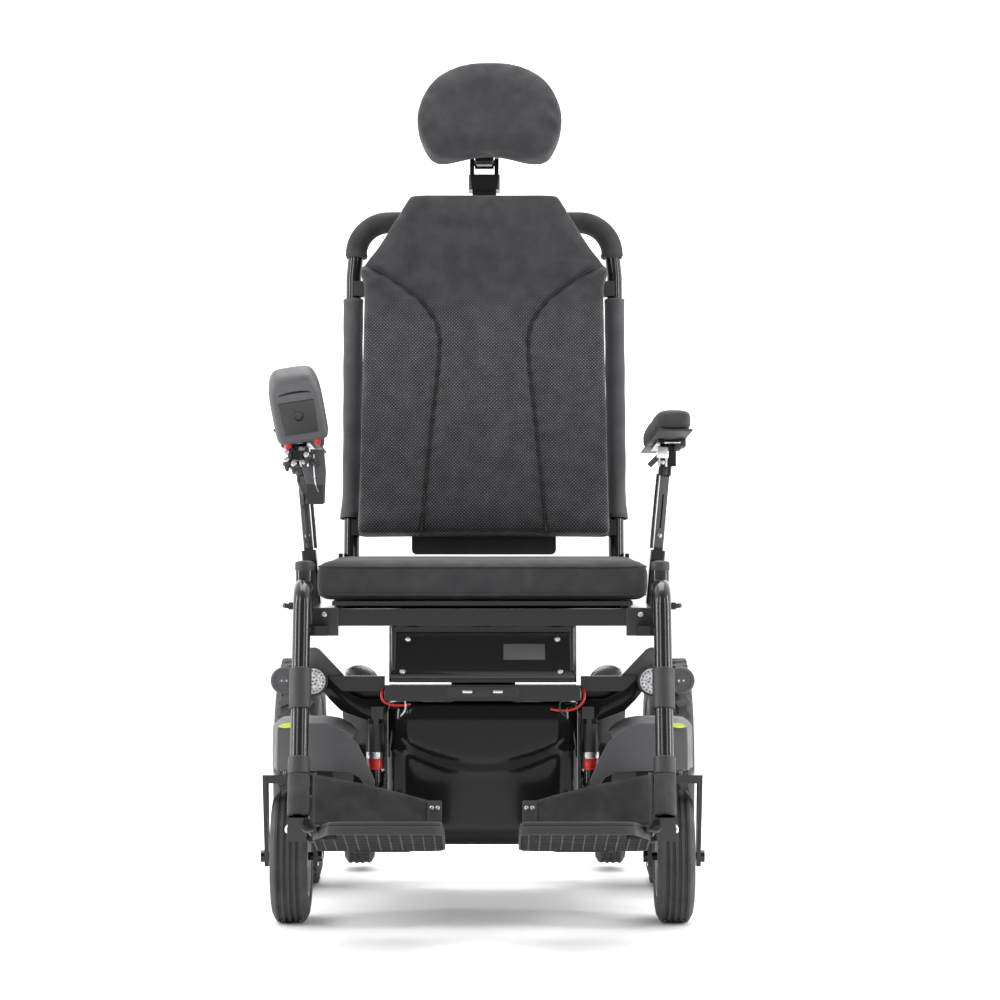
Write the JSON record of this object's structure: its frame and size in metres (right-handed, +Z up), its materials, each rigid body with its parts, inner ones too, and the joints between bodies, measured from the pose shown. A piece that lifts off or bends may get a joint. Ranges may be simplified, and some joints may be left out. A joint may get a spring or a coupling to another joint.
{
  "type": "power wheelchair",
  "caption": "Powered wheelchair with front casters, rear drive wheels, lifting and tilting seat, reclining back, headrest, arm pads, joystick and swing-away leg rests.",
  "frame": {"origin": "on the floor, at the middle of the length and the width", "axes": "+Z up, -Y towards the front (the footplates), +X towards the occupant's left"},
  "size_m": [0.66, 1.1236, 1.3096],
  "materials": {
    "black_metal": "gloss",
    "shroud": "gloss",
    "grey_plastic": "satin",
    "black_plastic": "matte",
    "tyre": "ribbed",
    "fabric": "knit",
    "mesh": "spacer mesh",
    "webbing": "woven",
    "foam": "foam",
    "accent": "gloss",
    "steel": "brushed",
    "aluminium": "satin",
    "lens": "clear",
    "red": "gloss"
  },
  "bodies": {
    "chassis": {"chassis_frame": "black_metal", "batteries": "black_plastic", "drive_controller": "black_plastic", "front_shroud": "shroud", "rear_shroud": "shroud", "side_panels": "shroud", "gear_motors": "grey_plastic", "anti_tip_arms": "black_metal", "shock_absorbers": "black_metal", "fender_left": "grey_plastic", "fender_right": "grey_plastic", "fender_accents": "accent", "module_rail": "black_metal", "lamp_housings": "grey_plastic", "headlamp_lenses": "lens", "lift_outer_column": "black_metal"},
    "lift_stage": {"lift_middle_column": "black_metal"},
    "lift_module": {"tilt_module": "black_metal"},
    "seat": {"seat_frame": "black_metal", "seat_pan": "black_metal", "seat_cushion": "fabric", "armrest_sockets": "black_metal"},
    "backrest": {"back_hoop": "black_metal", "push_grips": "foam", "back_pad": "mesh", "back_panel": "black_plastic", "back_sleeves": "fabric"},
    "headrest_stem": {"headrest_post": "black_metal"},
    "headrest": {"headrest_pad": "fabric"},
    "joystick": {"joystick_pod": "black_plastic"},
    "gimbal": {"joystick_gimbal": "black_plastic"},
    "stick": {"joystick_stick": "black_plastic"},
    "button": {"power_button": "red"},
    "drive_wheel_left": {"drive_tyre_left": "tyre", "drive_rim_left": "grey_plastic"},
    "caster_arm_left": {"caster_arm_left": "black_metal"},
    "caster_fork_left": {"caster_fork_left": "black_metal"},
    "caster_wheel_left": {"caster_tyre_left": "tyre", "caster_rim_left": "grey_plastic"},
    "anti_tip_wheel_left": {"anti_tip_wheel_left": "tyre"},
    "armrest_left": {"armrest_post_left": "black_metal", "armrest_pad_left": "fabric"},
    "hanger_left": {"hanger_tube_left": "black_metal"},
    "release_lever_left": {"hanger_release_left": "black_plastic"},
    "footplate_left": {"footplate_left": "black_plastic", "heel_strap_left": "webbing"},
    "drive_wheel_right": {"drive_tyre_right": "tyre", "drive_rim_right": "grey_plastic"},
    "caster_arm_right": {"caster_arm_right": "black_metal"},
    "caster_fork_right": {"caster_fork_right": "black_metal"},
    "caster_wheel_right": {"caster_tyre_right": "tyre", "caster_rim_right": "grey_plastic"},
    "anti_tip_wheel_right": {"anti_tip_wheel_right": "tyre"},
    "armrest_right": {"armrest_post_right": "black_metal", "armrest_pad_right": "fabric", "joystick_lead": "black_plastic"},
    "hanger_right": {"hanger_tube_right": "black_metal"},
    "release_lever_right": {"hanger_release_right": "black_plastic"},
    "footplate_right": {"footplate_right": "black_plastic", "heel_strap_right": "webbing"}
  },
  "joints": [
    {"name": "lift", "type": "slide", "parent": "chassis", "child": "lift_module", "axis": [0, 0, 1], "range_m": [0, 0.25]},
    {"name": "lift_stage", "type": "slide", "parent": "chassis", "child": "lift_stage", "axis": [0, 0, 1], "range_m": [0, 0.125]},
    {"name": "tilt", "type": "hinge", "parent": "lift_module", "child": "seat", "pos_m": [0, 0.06, 0.444], "axis": [-1, 0, 0], "range_deg": [0, 30]},
    {"name": "recline", "type": "hinge", "parent": "seat", "child": "backrest", "pos_m": [0, 0.142, 0.5], "axis": [-1, 0, 0], "range_deg": [0, 30]},
    {"name": "headrest_height", "type": "slide", "parent": "backrest", "child": "headrest_stem", "axis": [0, 0.1736, 0.9848], "range_m": [0, 0.08]},
    {"name": "headrest_tilt", "type": "hinge", "parent": "headrest_stem", "child": "headrest", "pos_m": [0, 0.27897, 1.15009], "axis": [1, 0, 0], "range_deg": [-15, 20]},
    {"name": "drive_spin_left", "type": "hinge", "parent": "chassis", "child": "drive_wheel_left", "pos_m": [0.293, 0.28, 0.18], "axis": [1, 0, 0], "continuous": true},
    {"name": "suspension_left", "type": "hinge", "parent": "chassis", "child": "caster_arm_left", "pos_m": [0.159, -0.052, 0.2], "axis": [-1, 0, 0], "range_deg": [0, 2.5], "stiffness_Nm_per_rad": 120, "springref_deg": -34.38},
    {"name": "caster_swivel_left", "type": "hinge", "parent": "caster_arm_left", "child": "caster_fork_left", "pos_m": [0.277, -0.245, 0.243], "axis": [0, 0, 1], "continuous": true},
    {"name": "caster_spin_left", "type": "hinge", "parent": "caster_fork_left", "child": "caster_wheel_left", "pos_m": [0.277, -0.21, 0.095], "axis": [1, 0, 0], "continuous": true},
    {"name": "anti_tip_spin_left", "type": "hinge", "parent": "chassis", "child": "anti_tip_wheel_left", "pos_m": [0.208, 0.5, 0.068], "axis": [1, 0, 0], "continuous": true},
    {"name": "armrest_height_left", "type": "slide", "parent": "seat", "child": "armrest_left", "axis": [0.0906, 0, 0.9959], "range_m": [0, 0.06]},
    {"name": "hanger_swing_left", "type": "hinge", "parent": "seat", "child": "hanger_left", "pos_m": [0.252, -0.318, 0.463], "axis": [0, 0, 1], "range_deg": [0, 90]},
    {"name": "hanger_release_left", "type": "hinge", "parent": "hanger_left", "child": "release_lever_left", "pos_m": [0.27, -0.318, 0.461], "axis": [1, 0, 0], "range_deg": [0, 20], "stiffness_Nm_per_rad": 0.3, "springref_deg": -17.19},
    {"name": "footplate_flip_left", "type": "hinge", "parent": "hanger_left", "child": "footplate_left", "pos_m": [0.236, -0.405, 0.14], "axis": [0, 0.9703, -0.2419], "range_deg": [0, 90]},
    {"name": "drive_spin_right", "type": "hinge", "parent": "chassis", "child": "drive_wheel_right", "pos_m": [-0.293, 0.28, 0.18], "axis": [1, 0, 0], "continuous": true},
    {"name": "suspension_right", "type": "hinge", "parent": "chassis", "child": "caster_arm_right", "pos_m": [-0.159, -0.052, 0.2], "axis": [-1, 0, 0], "range_deg": [0, 2.5], "stiffness_Nm_per_rad": 120, "springref_deg": -34.38},
    {"name": "caster_swivel_right", "type": "hinge", "parent": "caster_arm_right", "child": "caster_fork_right", "pos_m": [-0.277, -0.245, 0.243], "axis": [0, 0, 1], "continuous": true},
    {"name": "caster_spin_right", "type": "hinge", "parent": "caster_fork_right", "child": "caster_wheel_right", "pos_m": [-0.277, -0.21, 0.095], "axis": [1, 0, 0], "continuous": true},
    {"name": "anti_tip_spin_right", "type": "hinge", "parent": "chassis", "child": "anti_tip_wheel_right", "pos_m": [-0.208, 0.5, 0.068], "axis": [1, 0, 0], "continuous": true},
    {"name": "armrest_height_right", "type": "slide", "parent": "seat", "child": "armrest_right", "axis": [-0.0906, 0, 0.9959], "range_m": [0, 0.06]},
    {"name": "hanger_swing_right", "type": "hinge", "parent": "seat", "child": "hanger_right", "pos_m": [-0.252, -0.318, 0.463], "axis": [0, 0, -1], "range_deg": [0, 90]},
    {"name": "hanger_release_right", "type": "hinge", "parent": "hanger_right", "child": "release_lever_right", "pos_m": [-0.27, -0.318, 0.461], "axis": [1, 0, 0], "range_deg": [0, 20], "stiffness_Nm_per_rad": 0.3, "springref_deg": -17.19},
    {"name": "footplate_flip_right", "type": "hinge", "parent": "hanger_right", "child": "footplate_right", "pos_m": [-0.236, -0.405, 0.14], "axis": [0, -0.9703, 0.2419], "range_deg": [0, 90]},
    {"name": "joystick_swing", "type": "hinge", "parent": "armrest_right", "child": "joystick", "pos_m": [-0.268, -0.196, 0.67], "axis": [0, 0, -1], "range_deg": [0, 75]},
    {"name": "joystick_pitch", "type": "hinge", "parent": "joystick", "child": "gimbal", "pos_m": [-0.27105, -0.22875, 0.76726], "axis": [0.9877, 0, 0.1564], "range_deg": [-18, 18], "stiffness_Nm_per_rad": 0.3},
    {"name": "joystick_roll", "type": "hinge", "parent": "gimbal", "child": "stick", "pos_m": [-0.27105, -0.22875, 0.76726], "axis": [0.1327, 0.5299, -0.8376], "range_deg": [-18, 18], "stiffness_Nm_per_rad": 0.3},
    {"name": "power_button", "type": "slide", "parent": "joystick", "child": "button", "axis": [0.0829, -0.848, -0.5234], "range_m": [0, 0.003], "stiffness_N_per_m": 300, "springref_m": -0.002}
  ],
  "couplings": [
    {"joint": "lift_stage", "follows": "lift", "ratio": 0.5}
  ]
}
